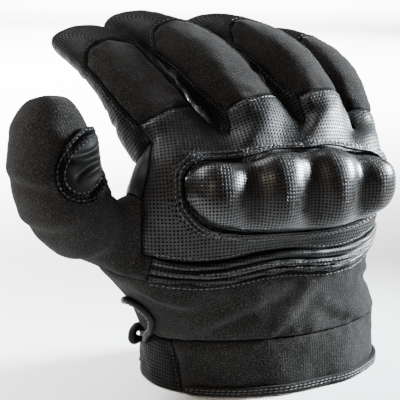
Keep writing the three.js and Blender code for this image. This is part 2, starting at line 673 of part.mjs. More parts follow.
// A closed wall between two grids of points of the same size, given row by row
function slab(outer, inner) {
  const wide = outer[0].length;
  const tall = outer.length;
  const count = wide * tall;
  const index = [];
  const flat = (a, b, c, d) => index.push(a, b, c, a, c, d);
  const id = (i, j) => j * wide + i;
  for (let j = 0; j + 1 < tall; j++)
    for (let i = 0; i + 1 < wide; i++) {
      flat(id(i, j), id(i + 1, j), id(i + 1, j + 1), id(i, j + 1));
      flat(count + id(i, j + 1), count + id(i + 1, j + 1), count + id(i + 1, j), count + id(i, j));
    }
  const side = (a, b) => flat(b, a, count + a, count + b);
  for (let i = 0; i + 1 < wide; i++) {
    side(id(i, 0), id(i + 1, 0));
    side(id(i + 1, tall - 1), id(i, tall - 1));
  }
  for (let j = 0; j + 1 < tall; j++) {
    side(id(wide - 1, j), id(wide - 1, j + 1));
    side(id(0, j + 1), id(0, j));
  }
  return geometryOf([...outer.flat(), ...inner.flat()], index);
}

// A bar along a line, from the lines of its corners, open or closed on itself
function bar(corners, closed) {
  const n = corners[0].length;
  const sides = corners.length;
  const index = [];
  const flat = (a, b, c, d) => index.push(a, b, c, a, c, d);
  const id = (k, i) => k * n + (i % n);
  for (let i = 0; i < (closed ? n : n - 1); i++)
    for (let k = 0; k < sides; k++) {
      const next = (k + 1) % sides;
      flat(id(k, i), id(next, i), id(next, i + 1), id(k, i + 1));
    }
  if (!closed) {
    flat(id(3, 0), id(2, 0), id(1, 0), id(0, 0));
    flat(id(0, n - 1), id(1, n - 1), id(2, n - 1), id(3, n - 1));
  }
  return geometryOf(corners.flat(), index);
}

// The padded guard: a solid whose underside follows the panel below it
function guard() {
  const layer = (height) =>
    DOME.map((dome) =>
      GUARD.map((g) => {
        const row = mix(g.low, g.high, dome.at);
        return onHand(g.column, row, RIM_LIFT + height(g.rise * dome.rise));
      }),
    );
  return slab(layer((rise) => GUARD_RIM + rise), layer(() => 0));
}

// The border: a flat ring from the guard's rim to its own outer edge
function border() {
  const loop = (table, grow) => {
    const first = table[0].column - grow;
    const last = table[table.length - 1].column + grow;
    const places = [];
    for (let i = 0; i <= BORDER_STEPS; i++) {
      const share = (1 - Math.cos((i / BORDER_STEPS) * Math.PI)) / 2;
      const column = mix(first, last, share);
      places.push({ column, ...edgesAt(table, column, grow) });
    }
    const low = places.map((p) => [p.column, p.low]);
    const high = places.map((p) => [p.column, p.high]).reverse();
    return [...low, ...high];
  };
  const edgesAt = (table, column, grow) => {
    const clamped = Math.min(table[table.length - 1].column, Math.max(table[0].column, column));
    const { low, high } = between(table, "column", clamped);
    return { low: low - grow, high: high + grow };
  };
  const inside = loop(GUARD, BORDER_GAP);
  const outside = loop(BORDER, 0);
  const line = (places, lift) => places.map(([column, row]) => onHand(column, row, lift));
  const lines = [0, 1 / 3, 2 / 3, 1].map((share) =>
    inside.map(([column, row], i) => {
      const [outerColumn, outerRow] = outside[i];
      return [mix(column, outerColumn, share), mix(row, outerRow, share)];
    }),
  );
  const over = lines.map((places) => line(places, BORDER_LIFT + BORDER_WALL));
  const under = lines.map((places) => line(places, BORDER_LIFT)).reverse();
  return bar([...over, ...under], true);
}

// The folded edge round the hem of the knitted part of the cuff
function hemBinding() {
  const rows = [BINDING.low, BINDING.high];
  const layer = (lift) =>
    rows.map((row) => {
      const points = [];
      for (let c = 2; c <= THUMB_LEFT; c++) points.push(onHand(c, row, lift));
      return points;
    });
  return slab(layer(LIFT + BINDING.wall), layer(LIFT));
}

// The leather patch in the crook of the thumb
function thumbPatch() {
  const STEPS = 7;
  const layer = (lift) =>
    PATCH.map((p) => {
      const points = [];
      for (let i = 0; i <= STEPS; i++) points.push(onThumb(mix(p.low, p.high, i / STEPS), p.row, lift));
      return points;
    });
  return slab(layer(RIM_LIFT + PATCH_WALL), layer(RIM_LIFT));
}

// The bound edge beside the wrist
function ventBinding() {
  const at = (i, lift) => onHand(wrap(VENT[i].column), VENT[i].row, lift);
  const sides = [[], [], [], []];
  VENT.forEach((_, i) => {
    const along = at(Math.min(i + 1, VENT.length - 1), 0).sub(at(Math.max(i - 1, 0), 0)).normalize();
    const outward = at(i, 1).sub(at(i, 0));
    const across = along.clone().cross(outward).normalize();
    const corner = (side, lift) => at(i, lift).addScaledVector(across, (side * VENT_EDGE.wide) / 2);
    sides[0].push(corner(-1, LIFT + 0.3));
    sides[1].push(corner(-1, LIFT + VENT_EDGE.deep));
    sides[2].push(corner(1, LIFT + VENT_EDGE.deep));
    sides[3].push(corner(1, LIFT + 0.3));
  });
  return bar(sides, false);
}

// The pull loop: a strip that goes out from the wrist and back
function pullLoop() {
  const foot = onHand(wrap(LOOP.column), LOOP.row, 1.2);
  const outward = foot.clone().sub(frames[2].centre).setZ(0).normalize();
  const aside = new THREE.Vector3(0, 0, 1).cross(outward);
  const STEPS = 10;
  const sides = [[], [], [], []];
  for (let i = 0; i <= STEPS; i++) {
    const angle = (i / STEPS) * Math.PI;
    const place = (wall) =>
      foot
        .clone()
        .addScaledVector(aside, Math.cos(angle) * (LOOP.across / 2 + wall))
        .addScaledVector(outward, Math.sin(angle) * (LOOP.out - LOOP.wall + wall));
    const up = new THREE.Vector3(0, 0, LOOP.tall / 2);
    sides[0].push(place(0).sub(up));
    sides[1].push(place(LOOP.wall).sub(up));
    sides[2].push(place(LOOP.wall).add(up));
    sides[3].push(place(0).add(up));
  }
  return bar(sides, false);
}

const KNIT = new THREE.MeshStandardMaterial({ color: 0x1b1a1c, roughness: 0.95, metalness: 0 });
const LEATHER = new THREE.MeshStandardMaterial({ color: 0x1f1e1e, roughness: 0.5, metalness: 0 });

const glove = new THREE.Group();
function add(name, geometry, material) {
  const mesh = new THREE.Mesh(geometry, material);
  mesh.name = name;
  glove.add(mesh);
}

// Which panel each face belongs to
function panelOf(face) {
  if (face.on === "flex") return "flex_panel";
  if (face.on === "thumb") return "thumb_knit";
  if (face.on !== "hand") {
    if (face.k < ACROSS && face.row === 0) return "knuckle_panel";
    if (face.k < ACROSS && face.row < TIP_ROW) return "finger_back_" + face.on;
    return "finger_front_" + face.on;
  }
  const back = face.c < 4 * ACROSS;
  if (face.j < ROW.bandTop) {
    if (face.c === 0 || face.c >= THUMB_LEFT) return "cuff_tab";
    return back ? "cuff_band_back" : "cuff_band_palm";
  }
  if (face.c === 0 && face.j === ROW.flexLow) return "thumb_knit";
  if (face.j < ROW.flexLow && (back || face.c > THUMB_LEFT + 1)) return "wrist_knit";
  if (!back) return "palm_panel";
  return "knuckle_panel";
}
const panels = new Map();
for (const face of faces) {
  const name = panelOf(face);
  if (!panels.has(name)) panels.set(name, []);
  panels.get(name).push(face);
}
for (const [name, chosen] of panels)
  add(name, wallOf(chosen), /knit|finger_back|cuff_band/.test(name) ? KNIT : LEATHER);
add("knuckle_guard", guard(), LEATHER);
add("guard_border", border(), LEATHER);
add("hem_binding", hemBinding(), KNIT);
add("thumb_patch", thumbPatch(), LEATHER);
add("vent_binding", ventBinding(), LEATHER);
add("pull_loop", pullLoop(), LEATHER);

export default glove;
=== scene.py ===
# A right-hand tactical glove of knit and perforated leather, dressed over its packed panels.
# Metres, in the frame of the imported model: +Z up out of the cuff, the back of the hand faces -Y.
import json
import math

import bpy
import numpy as np
from mathutils import Matrix, Vector, noise
from mathutils.bvhtree import BVHTree
from mathutils.kdtree import KDTree


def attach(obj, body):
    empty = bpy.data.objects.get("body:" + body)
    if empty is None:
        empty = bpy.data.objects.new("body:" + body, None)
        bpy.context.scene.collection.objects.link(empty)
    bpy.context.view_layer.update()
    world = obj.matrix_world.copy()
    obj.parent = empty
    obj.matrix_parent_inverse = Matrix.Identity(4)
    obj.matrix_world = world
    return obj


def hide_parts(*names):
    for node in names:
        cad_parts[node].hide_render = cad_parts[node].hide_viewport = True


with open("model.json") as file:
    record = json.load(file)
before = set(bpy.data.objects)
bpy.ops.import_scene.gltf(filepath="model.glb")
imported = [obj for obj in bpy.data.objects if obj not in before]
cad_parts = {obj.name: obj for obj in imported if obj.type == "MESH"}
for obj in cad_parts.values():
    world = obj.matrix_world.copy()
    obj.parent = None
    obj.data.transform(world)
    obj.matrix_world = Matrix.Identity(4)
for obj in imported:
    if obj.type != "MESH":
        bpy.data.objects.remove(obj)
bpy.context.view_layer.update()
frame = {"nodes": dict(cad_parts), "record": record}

MM = 0.001
LEVELS = 3  # subdivision of a panel
CORNER = math.radians(34)  # a cut edge that turns by more keeps its corner

# Wall thickness of the panels, in mm: the folds between the fingers are thinner
WALLS = {"guard_border": [1.2], "hem_binding": [1.0], "thumb_patch": [1.0]}
PANEL_WALLS = [1.6, 0.5]

# The finish of each piece, and the record's material slot that it stands for
FINISHES = {
    "knit": ["cuff_band_back", "cuff_band_palm", "wrist_knit", "thumb_knit", "hem_binding"],
    "perforated_leather": ["cuff_tab", "knuckle_panel", "flex_panel"],
    "palm_leather": ["palm_panel", "thumb_patch"],
    "guard_leather": ["knuckle_guard", "guard_border"],
}
DIGITS = ["index", "middle", "ring", "little"]
FINISHES["knit"] += ["finger_back_" + digit for digit in DIGITS]
FINISHES["palm_leather"] += ["finger_front_" + digit for digit in DIGITS]
FINISH_OF = {node: finish for finish, nodes in FINISHES.items() for node in nodes}


def middle_of(box):
    return np.array(box).mean(axis=0)


# Lines through the hollow of the hand, fingers and thumb, from one open space to the next
SPACES = {o["name"]: middle_of(o["box_m"]) for o in frame["record"]["physics"]["openings"]}
BONES = [("cuff_mouth", "wrist_space"), ("wrist_space", "palm_low"), ("palm_low", "palm_middle")]
BONES += [("palm_middle", "palm_high"), ("palm_low", "thumb_low")]
for digit in DIGITS + ["thumb"]:
    if digit != "thumb":
        BONES.append(("palm_high", digit + "_low"))
    BONES += [(digit + "_low", digit + "_middle"), (digit + "_middle", digit + "_high")]


def outward(points):
    """The way out of the glove's hollow at each point, from the nearest bone"""
    nearest = np.full(len(points), 1e9)
    out = np.zeros((len(points), 3))
    for low, high in BONES:
        start, run = SPACES[low], SPACES[high] - SPACES[low]
        share = np.clip((points - start) @ run / (run @ run), 0, 1)
        away = points - (start + share[:, None] * run)
        far = np.linalg.norm(away, axis=1)
        closer = far < nearest
        nearest[closer] = far[closer]
        out[closer] = away[closer] / far[closer, None]
    return out


def only(piece):
    """Makes a piece the one selected object, in object mode"""
    if bpy.context.mode != "OBJECT":
        bpy.ops.object.mode_set(mode="OBJECT")
    bpy.ops.object.select_all(action="DESELECT")
    piece.select_set(True)
    bpy.context.view_layer.objects.active = piece


def apply_modifier(piece, kind, **settings):
    """Adds a modifier with its settings and applies it"""
    modifier = piece.modifiers.new(kind.lower(), kind)
    for key, value in settings.items():
        setattr(modifier, key, value)
    only(piece)
    bpy.ops.object.modifier_apply(modifier=modifier.name)


def points_of(mesh):
    flat = np.empty(len(mesh.vertices) * 3)
    mesh.vertices.foreach_get("co", flat)
    return flat.reshape(-1, 3)


def lengths(vectors):
    return np.linalg.norm(vectors, axis=-1)


def units(vectors):
    return vectors / np.maximum(lengths(vectors), 1e-12)[:, None]


def tree_of(points):
    tree = KDTree(len(points))
    for index, point in enumerate(points):
        tree.insert(point, index)
    tree.balance()
    return tree


class Panel:
    """A sewn piece: a copy of its CAD node, with what is known of its outer sheet"""

    def __init__(self, node):
        self.node = node
        self.piece = bpy.data.objects.new(node + "_sewn", frame["nodes"][node].data.copy())
        bpy.context.scene.collection.objects.link(self.piece)
        self.mesh = self.piece.data
        self.mesh.materials.clear()
        self.merge()
        self.find_outer()

    def merge(self):
        only(self.piece)
        bpy.ops.object.mode_set(mode="EDIT")
        bpy.ops.mesh.customdata_custom_splitnormals_clear()
        bpy.ops.mesh.select_all(action="SELECT")
        bpy.ops.mesh.remove_doubles(threshold=0.02 * MM)
        bpy.ops.mesh.tris_convert_to_quads(
            face_threshold=math.radians(100), shape_threshold=math.radians(120), topology_influence=2
        )
        bpy.ops.object.mode_set(mode="OBJECT")

    def find_outer(self):
        """Splits the faces into cut edges and two sheets, and keeps which sheet lies outside"""
        points = points_of(self.mesh)
        walls = [wall * MM for wall in WALLS.get(self.node, PANEL_WALLS)]
        across = set()
        for edge in self.mesh.edges:
            a, b = edge.vertices
            long = np.linalg.norm(points[a] - points[b])
            if any(abs(long - wall) < 0.01 * MM for wall in walls):
                across.add(edge.key)
        faces = self.mesh.polygons
        rim = {f.index for f in faces if any(key in across for key in f.edge_keys)}
        beside = {}
        for face in faces:
            for key in face.edge_keys:
                beside.setdefault(key, []).append(face.index)
        self.sheet = [-1 if f.index in rim else None for f in faces]
        sheets = []
        for seed in faces:
            if self.sheet[seed.index] is not None:
                continue
            self.sheet[seed.index] = len(sheets)
            stack = [seed.index]
            members = []
            while stack:
                face = faces[stack.pop()]
                members.append(face)
                for key in face.edge_keys:
                    for other in beside[key]:
                        if self.sheet[other] is None:
                            self.sheet[other] = len(sheets)
                            stack.append(other)
            centres = np.array([f.center for f in members])
            facing = (np.array([f.normal for f in members]) * outward(centres)).sum(axis=1)
            sheets.append(facing @ np.array([f.area for f in members]))
        best = int(np.argmax(sheets))
        self.outer = [f.index for f in faces if self.sheet[f.index] == best]
        self.rim = rim

    def select_faces(self, chosen):
        """Opens the piece in edit mode with only these faces selected"""
        only(self.piece)
        bpy.ops.object.mode_set(mode="EDIT")
        bpy.ops.mesh.select_all(action="DESELECT")
        bpy.ops.mesh.select_mode(type="FACE")
        bpy.ops.object.mode_set(mode="OBJECT")
        for index in chosen:
            self.mesh.polygons[index].select = True
        bpy.ops.object.mode_set(mode="EDIT")

    def map_cloth(self, up):
        """Lays the outer sheet out flat in a map in metres, turned so that `up` runs along V"""
        self.select_faces(self.outer)
        bpy.ops.mesh.region_to_loop()
        bpy.ops.mesh.mark_seam(clear=False)
        self.select_faces(self.outer)
        bpy.ops.uv.unwrap(method="MINIMUM_STRETCH", margin=0, iterations=60)
        bpy.ops.object.mode_set(mode="OBJECT")
        layer = self.mesh.uv_layers.active
        layer.name = "cloth"
        points = points_of(self.mesh)
        place = {}
        flat_area = area = 0
        rising = np.zeros(2)
        for index in self.outer:
            face = self.mesh.polygons[index]
            corners = [np.array(layer.data[i].uv) for i in face.loop_indices]
            places = [points[v] for v in face.vertices]
            for vertex, corner in zip(face.vertices, corners):
                place[vertex] = corner
            u1, u2 = corners[1] - corners[0], corners[-1] - corners[0]
            e1, e2 = places[1] - places[0], places[-1] - places[0]
            shares = np.linalg.lstsq(np.stack([e1, e2], axis=1), up, rcond=None)[0]
            rising += face.area * (shares[0] * u1 + shares[1] * u2)
            flat_area += abs(u1[0] * u2[1] - u1[1] * u2[0])
            area += np.linalg.norm(np.cross(e1, e2))
        size = math.sqrt(area / flat_area)
        along = rising / np.linalg.norm(rising)
        turn = np.array([[along[1], -along[0]], [along[0], along[1]]]) * size
        laid = list(place)
        tree = tree_of(points[laid])
        for vertex in range(len(points)):
            if vertex not in place:
                place[vertex] = place[laid[tree.find(points[vertex])[1]]]
        middle = np.mean([turn @ p for p in place.values()], axis=0)
        for loop in self.mesh.loops:
            layer.data[loop.index].uv = turn @ place[loop.vertex_index] - middle + 0.5

    def round_off(self):
        """Rounds the panel by subdivision; its cut edges stay crisp, and a skin panel's corners too"""
        mark = self.mesh.attributes.new("outer", "BOOLEAN", "FACE")
        mark.data.foreach_set("value", np.isin(np.arange(len(self.mesh.polygons)), self.outer))
        self.select_faces(self.rim)
        bpy.ops.mesh.region_to_loop()
        bpy.ops.transform.edge_crease(value=1)
        bpy.ops.object.mode_set(mode="OBJECT")
        if self.node in SKIN:
            self.keep_corners()
        apply_modifier(self.piece, "SUBSURF", levels=LEVELS, render_levels=LEVELS)
        only(self.piece)
        bpy.ops.object.shade_smooth()
        self.gather()

    def keep_corners(self):
        """Creases the edge through the wall wherever the cut edge turns sharply"""
        points = points_of(self.mesh)
        crease = self.mesh.attributes["crease_edge"].data
        firm = {}
        for edge in self.mesh.edges:
            if crease[edge.index].value > 0.5:
                a, b = edge.vertices
                firm.setdefault(a, []).append(b)
                firm.setdefault(b, []).append(a)
        for edge in self.mesh.edges:
            a, b = edge.vertices
            if crease[edge.index].value > 0.5 or a not in firm or b not in firm:
                continue
            for vertex in (a, b):
                ends = [points[other] - points[vertex] for other in firm[vertex]]
                if len(ends) == 2 and Vector(ends[0]).angle(-Vector(ends[1])) > CORNER:
                    crease[edge.index].value = 1

    def gather(self):
        """Reads the rounded piece: its points, its outer sheet, and the order of its cut edge"""
        mesh = self.mesh
        self.points = points_of(mesh)
        corners = np.empty(len(mesh.loops), dtype=int)
        mesh.loops.foreach_get("vertex_index", corners)
        is_outer = np.empty(len(mesh.polygons), dtype=bool)
        mesh.attributes["outer"].data.foreach_get("value", is_outer)
        self.quads = corners.reshape(-1, 4)[is_outer]
        self.top = np.unique(self.quads)
        nearest = tree_of(self.points[self.top])
        on_top = set(self.top.tolist())
        place = {vertex: i for i, vertex in enumerate(self.top.tolist())}
        self.twin = np.array([
            place[v] if v in on_top else nearest.find(p)[1] for v, p in enumerate(self.points)
        ])
        self.measure()
        beside = {}
        for row, quad in enumerate(self.quads.tolist()):
            for a, b in zip(quad, quad[1:] + quad[:1]):
                beside.setdefault((min(a, b), max(a, b)), []).append(row)
        cut = {key: rows[0] for key, rows in beside.items() if len(rows) == 1}
        follow = {}
        for a, b in cut:
            follow.setdefault(a, []).append(b)
            follow.setdefault(b, []).append(a)
        self.loops = []
        left = set(follow)
        while left:
            start = min(left)
            loop = [start]
            left.discard(start)
            while True:
                ahead = [v for v in follow[loop[-1]] if v in left]
                if not ahead:
                    break
                loop.append(ahead[0])
                left.discard(ahead[0])
            self.loops.append(loop)
        self.loops.sort(key=len, reverse=True)
        self.inward = {}
        for (a, b), row in cut.items():
            middle = self.points[self.quads[row]].mean(axis=0)
            for v in (a, b):
                self.inward[v] = self.inward.get(v, 0) + middle - self.points[v]

    def measure(self):
        """Finds the way out of the outer sheet at each of its vertices"""
        q = self.points[self.quads]
        facing = np.cross(q[:, 2] - q[:, 0], q[:, 3] - q[:, 1])
        normals = np.zeros_like(self.points)
        for corner in range(4):
            np.add.at(normals, self.quads[:, corner], facing)
        self.normals = units(normals)

    def widen_end(self, tip, end):
        """Makes the pointed end of a piece blunt: widens it across, by a share that falls off along it"""
        along, across = np.array(end["along"]), np.array(end["across"])
        away = (self.points - tip) / MM
        share = end["share"] * np.exp(-np.sqrt((away @ along) ** 2 + 0.5) / end["reach"])
        self.move(self.points + across * (away @ across * share)[:, None] * MM)

    def move(self, points):
        """Gives the piece new points"""
        self.points = points
        self.mesh.vertices.foreach_set("co", points.ravel())
        self.mesh.update()
        self.measure()

    def round_outline(self, times, reach):
        """Draws in the corners of its cut edges, and what lies within a reach in mm of them with them"""
        loops = [np.array(loop) for loop in self.loops]
        drawn = []
        for loop in loops:
            line = self.points[loop]
            for _ in range(times):
                line = (np.roll(line, 1, axis=0) + 2 * line + np.roll(line, -1, axis=0)) / 4
            drawn.append(line - self.points[loop])
        edge = tree_of(self.points[np.concatenate(loops)])
        drawn = np.concatenate(drawn)
        moves = np.zeros_like(self.points)
        for vertex in self.top:
            found, index, off = edge.find(self.points[vertex])
            moves[vertex] = drawn[index] * max(0, 1 - off / (reach * MM))
        self.move(self.points + moves[self.top][self.twin])

    def smooth(self, times, reach):
        """Evens out the piece's middle, from a reach in mm inside its cut edge"""
        off = self.from_edge([loop + loop[:1] for loop in self.loops]) / MM
        share = np.clip(off / reach, 0, 1)[self.twin]
        group = self.piece.vertex_groups.new(name="middle")
        for vertex, weight in enumerate(share):
            group.add([vertex], weight, "REPLACE")
        apply_modifier(self.piece, "SMOOTH", factor=0.5, iterations=times, vertex_group="middle")
        self.points = points_of(self.mesh)
        self.measure()

    def lift(self, amount):
        """Moves the whole wall in or out by an amount in metres for each vertex of the outer sheet"""
        outs = self.normals[self.top]
        self.move(self.points + outs[self.twin] * amount[self.twin, None])

    def find_neighbours(self, trees):
        """Names the panel that each vertex of the cut edge is sewn to"""
        self.beside = {}
        for loop in self.loops:
            for v in loop:
                others = [(tree, node) for node, tree in trees.items() if node != self.node]
                near, node = min((tree.find(self.points[v])[2], node) for tree, node in others)
                self.beside[v] = node if near < SEWN_WITHIN * MM else None

    def runs(self, wanted):
        """Stretches of the cut edge, as lists of vertices, that are sewn to one of the wanted panels"""
        found = []
        for loop in self.loops:
            marks = [self.beside.get(v) in wanted for v in loop]
            if all(marks):
                found.append(loop + loop[:1])
                continue
            start = marks.index(False)
            stretch = []
            for v, mark in zip(loop[start:] + loop[:start], marks[start:] + marks[:start]):
                if mark:
                    stretch.append(v)
                    continue
                if len(stretch) > 3:
                    found.append(stretch)
                stretch = []
            if len(stretch) > 3:
                found.append(stretch)
        return found

    def from_edge(self, runs):
        """Distance in metres from each vertex of the outer sheet to these stretches of the cut edge"""
        dense = []
        for run in runs:
            p = self.points[run]
            dense += [p, (p[1:] + p[:-1]) / 2]
        if not dense:
            return np.full(len(self.top), 1.0)
        tree = tree_of(np.concatenate(dense))
        return np.array([tree.find(p)[2] for p in self.points[self.top]])


UP = np.array([0, 0, 1.0])
FINGER_UP = SPACES["middle_high"] - SPACES["middle_low"]
LAID_ON = ["thumb_patch", "guard_border", "hem_binding", "knuckle_guard"]
SKIN = [node for node in sorted(FINISH_OF) if node not in LAID_ON]
SEWN_WITHIN = 1.3  # mm between two cut edges that are sewn together
panels = {node: Panel(node) for node in sorted(FINISH_OF)}
for node, panel in panels.items():
    panel.map_cloth(FINGER_UP if node.startswith("finger") else UP)
    panel.round_off()
edge_trees = {}
for node in SKIN:
    edge_trees[node] = tree_of(np.concatenate([panels[node].points[loop] for loop in panels[node].loops]))
for node in SKIN:
    panels[node].find_neighbours(edge_trees)

# Relief of the cloth and leather, in mm
SEAM = {"sink": 0.6, "reach": 1.5}
PUCKER = {"size": 0.35, "pitch": 4.5, "reach": 4.5}
SLACK = [{"size": 0.5, "pitch": 16}, {"size": 0.16, "pitch": 5}]  # general unevenness
GUARD_END = {"along": (0.954, -0.3, 0), "across": (0.1, 0.404, 0.909), "share": 0.6, "reach": 3.6}
RIDGES = {"count": 3, "rise": 1.0, "sharp": 0.5, "cut": 0.07}  # cut: share of the last that a seam takes
FLUSH = {"flex_panel", "knuckle_panel"}  # the two panels whose seam lies flat
# Folds and hollows. Columns: its two ends on the glove; bow, how far its middle leaves the straight line;
# high, of its ridge, or less than 0 for a hollow of the guard; wide, half its width; crease, the depth beside
# the ridge as a share of its height.
FOLDS = [
    dict(zip(("start", "end", "bow", "high", "wide", "crease"), row))
    for row in [
        ((-41, -17, 22), (-5, -29, 37), (0, -4, 2), 1.3, 3.2, 0.9),
        ((-15, -31, 20), (10, -28, 40), (0, -2, 0), 1.1, 3.4, 0.6),
        ((5, -28, 32), (42, -14, 21), (3, -4, -3), 1.2, 3.2, 0.7),
        ((18, -26, 42), (46, -4, 33), (3, -3, 0), 0.9, 2.6, 0.8),
        ((-60, -14, 38), (-36, -24, 34), (0, -2, -2), 0.9, 2.6, 0.7),
        ((-97, 0, 83), (-86, -22, 80), (-3, -3, 0), 1.3, 3.0, 0.9),
        ((-98, 2, 96), (-84, -20, 96), (-3, -3, 1), 0.9, 2.6, 1.0),
        ((-92, 4, 68), (-76, -22, 69), (-3, -3, 0), 1.0, 3.0, 0.8),
        ((-84, 8, 57), (-66, -20, 56), (-3, -4, 0), 0.8, 3.2, 0.8),
        ((-71, -16, 95), (-82, -22, 90), (0, 0, 1), 0.9, 1.1, 1.0),
        ((-70, -17, 89), (-83, -23, 87), (0, 0, -1), 1.1, 1.2, 1.0),
        ((-70, -18, 84), (-81, -23, 80), (0, 0, 1), 1.1, 1.3, 1.0),
        ((-68, -17, 78), (-77, -22, 73), (0, 0, 1), 0.9, 1.2, 1.0),
        ((34, 1, 77), (-30, 3, 76), (0, 9, -5), 1.4, 3.0, 1.1),
        ((20, 8, 64), (-34, 12, 67), (0, 5, -4), 0.9, 2.4, 1.2),
        ((-30, 5, 76), (-24, 28, 28), (13, 3, 0), 1.5, 3.2, 1.2),
        ((-38, 12, 68), (-38, 22, 34), (-8, -3, 0), 0.8, 2.6, 0.9),
        ((36, 6, 56), (22, 24, 30), (2, 3, 0), 1.0, 3.0, 0.8),
        ((30, 18, 33), (-34, 24, 29), (0, 7, 2), 0.9, 2.2, 1.1),
        ((-68, 6, 62), (-48, 18, 38), (3, 4, 2), 0.9, 2.4, 0.9),
        ((-22, -30, 88), (-25, -42, 61), (-1, -5, 0), -2.2, 6.8, 0),
        ((1, -30, 88), (-1, -43, 60), (-1, -5, 0), -2.4, 6.4, 0),
        ((21, -30, 87), (20, -41, 61), (-1, -4, 0), -2.2, 5.8, 0),
    ]
]
# Creases across the palm side of each finger at its two joints, in mm. off: from the joint along the finger.
CREASES = [
    {"off": -4.6, "deep": 0.5, "wide": 1.3, "tilt": 0.18},
    {"off": -1.0, "deep": 0.95, "wide": 1.5, "tilt": -0.1},
    {"off": 2.6, "deep": 0.75, "wide": 1.4, "tilt": 0.12},
    {"off": 6.2, "deep": 0.35, "wide": 1.2, "tilt": -0.2},
]
FRONT = {digit: np.array([0, 0.55, -0.83]) for digit in DIGITS}  # the way that a finger's palm side faces
FRONT["thumb"] = np.array([0.9, 0.35, 0.25])


def wave(points, pitch):
    """Smooth noise from about -1 to 1 at points in metres, with a pitch in mm"""
    scaled_points = points / (pitch * MM)
    return np.array([noise.noise(p) for p in scaled_points]) * 1.6


def fold(points, normals, shape):
    """Height in mm of a fold: a ridge along a bowed line, with a crease below it"""
    start, end, bow = (np.array(shape[key], dtype=float) * MM for key in ("start", "end", "bow"))
    steps = np.linspace(0, 1, 25)[:, None]
    line = start * (1 - steps) + end * steps + bow * 4 * steps * (1 - steps)
    tree = tree_of(line)
    nearest = np.array([tree.find(p)[1] for p in points])
    ahead = line[np.minimum(nearest + 1, 24)] - line[np.maximum(nearest - 1, 0)]
    away = (points - line[nearest]) / (shape["wide"] * MM)
    off = (away * units(np.cross(normals, ahead))).sum(axis=1)
    past = (away * units(ahead)).sum(axis=1) * shape["wide"] * MM
    share = (nearest + past / lengths(line[1:] - line[:-1]).mean()) / 24
    ends = np.where((share > 0) & (share < 1), np.sin(np.pi * np.clip(share, 0, 1)) ** 0.7, 0)
    profile = np.exp(-(off**2)) - shape["crease"] * np.exp(-(((off + 1.25) / 0.7) ** 2))
    return shape["high"] * profile * ends * np.exp(-((lengths(away) / 4) ** 8))


def joint_creases(points, digit):
    """Depth in mm of the creases where a finger bends"""
    depth = np.zeros(len(points))
    stops = [SPACES[f"{digit}_{place}"] for place in ("low", "middle", "high")]
    for low, high in zip(stops, stops[1:]):
        along = (high - low) / np.linalg.norm(high - low)
        front = FRONT[digit] - along * (FRONT[digit] @ along)
        front /= np.linalg.norm(front)
        aside = np.cross(along, front)
        away = (points - (low + high) / 2) / MM
        reach = away @ along
        around = units(away - reach[:, None] * along)
        facing = np.clip(around @ front * 1.3 - 0.1, 0, 1)
        for crease in CREASES:
            off = (reach - crease["off"] - crease["tilt"] * (away @ aside)) / crease["wide"]
            ridge = 0.45 * np.exp(-((off - 1.5) ** 2))
            depth += crease["deep"] * facing * (np.exp(-(off**2)) - ridge)
    return depth


def relief(panel):
    """How far each vertex of a panel's outer sheet is moved, in metres"""
    points = panel.points[panel.top]
    normals = panel.normals[panel.top]
    amount = np.zeros(len(points))
    if panel.node != "knuckle_guard":
        amount = amount + sum(layer["size"] * wave(points, layer["pitch"]) for layer in SLACK)
    for shape in FOLDS:
        if (shape["high"] < 0) == (panel.node == "knuckle_guard"):
            amount = amount + fold(points, normals, shape)
    for digit in DIGITS + ["thumb"]:
        if panel.node in ("finger_front_" + digit, digit + "_knit"):
            amount = amount - joint_creases(points, digit)
    if panel.node in SKIN:
        off = panel.from_edge(panel.runs([node for node in SKIN if {node, panel.node} != FLUSH])) / MM
        amount = amount - SEAM["sink"] * np.exp(-((off / SEAM["reach"]) ** 2))
        gathers = wave(points + 0.5, PUCKER["pitch"])
        amount = amount + PUCKER["size"] * gathers * np.exp(-((off / PUCKER["reach"]) ** 2))
    if panel.node == "flex_panel":
        low = panel.from_edge(panel.runs(["wrist_knit"]))
        high = panel.from_edge(panel.runs(["knuckle_panel"]))
        share = low / (low + high)
        turns = RIDGES["count"] * (RIDGES["cut"] + (1 - 2 * RIDGES["cut"]) * share)
        amount = amount + RIDGES["rise"] * (np.abs(np.sin(np.pi * turns)) ** RIDGES["sharp"] - 0.2)
    return amount * MM


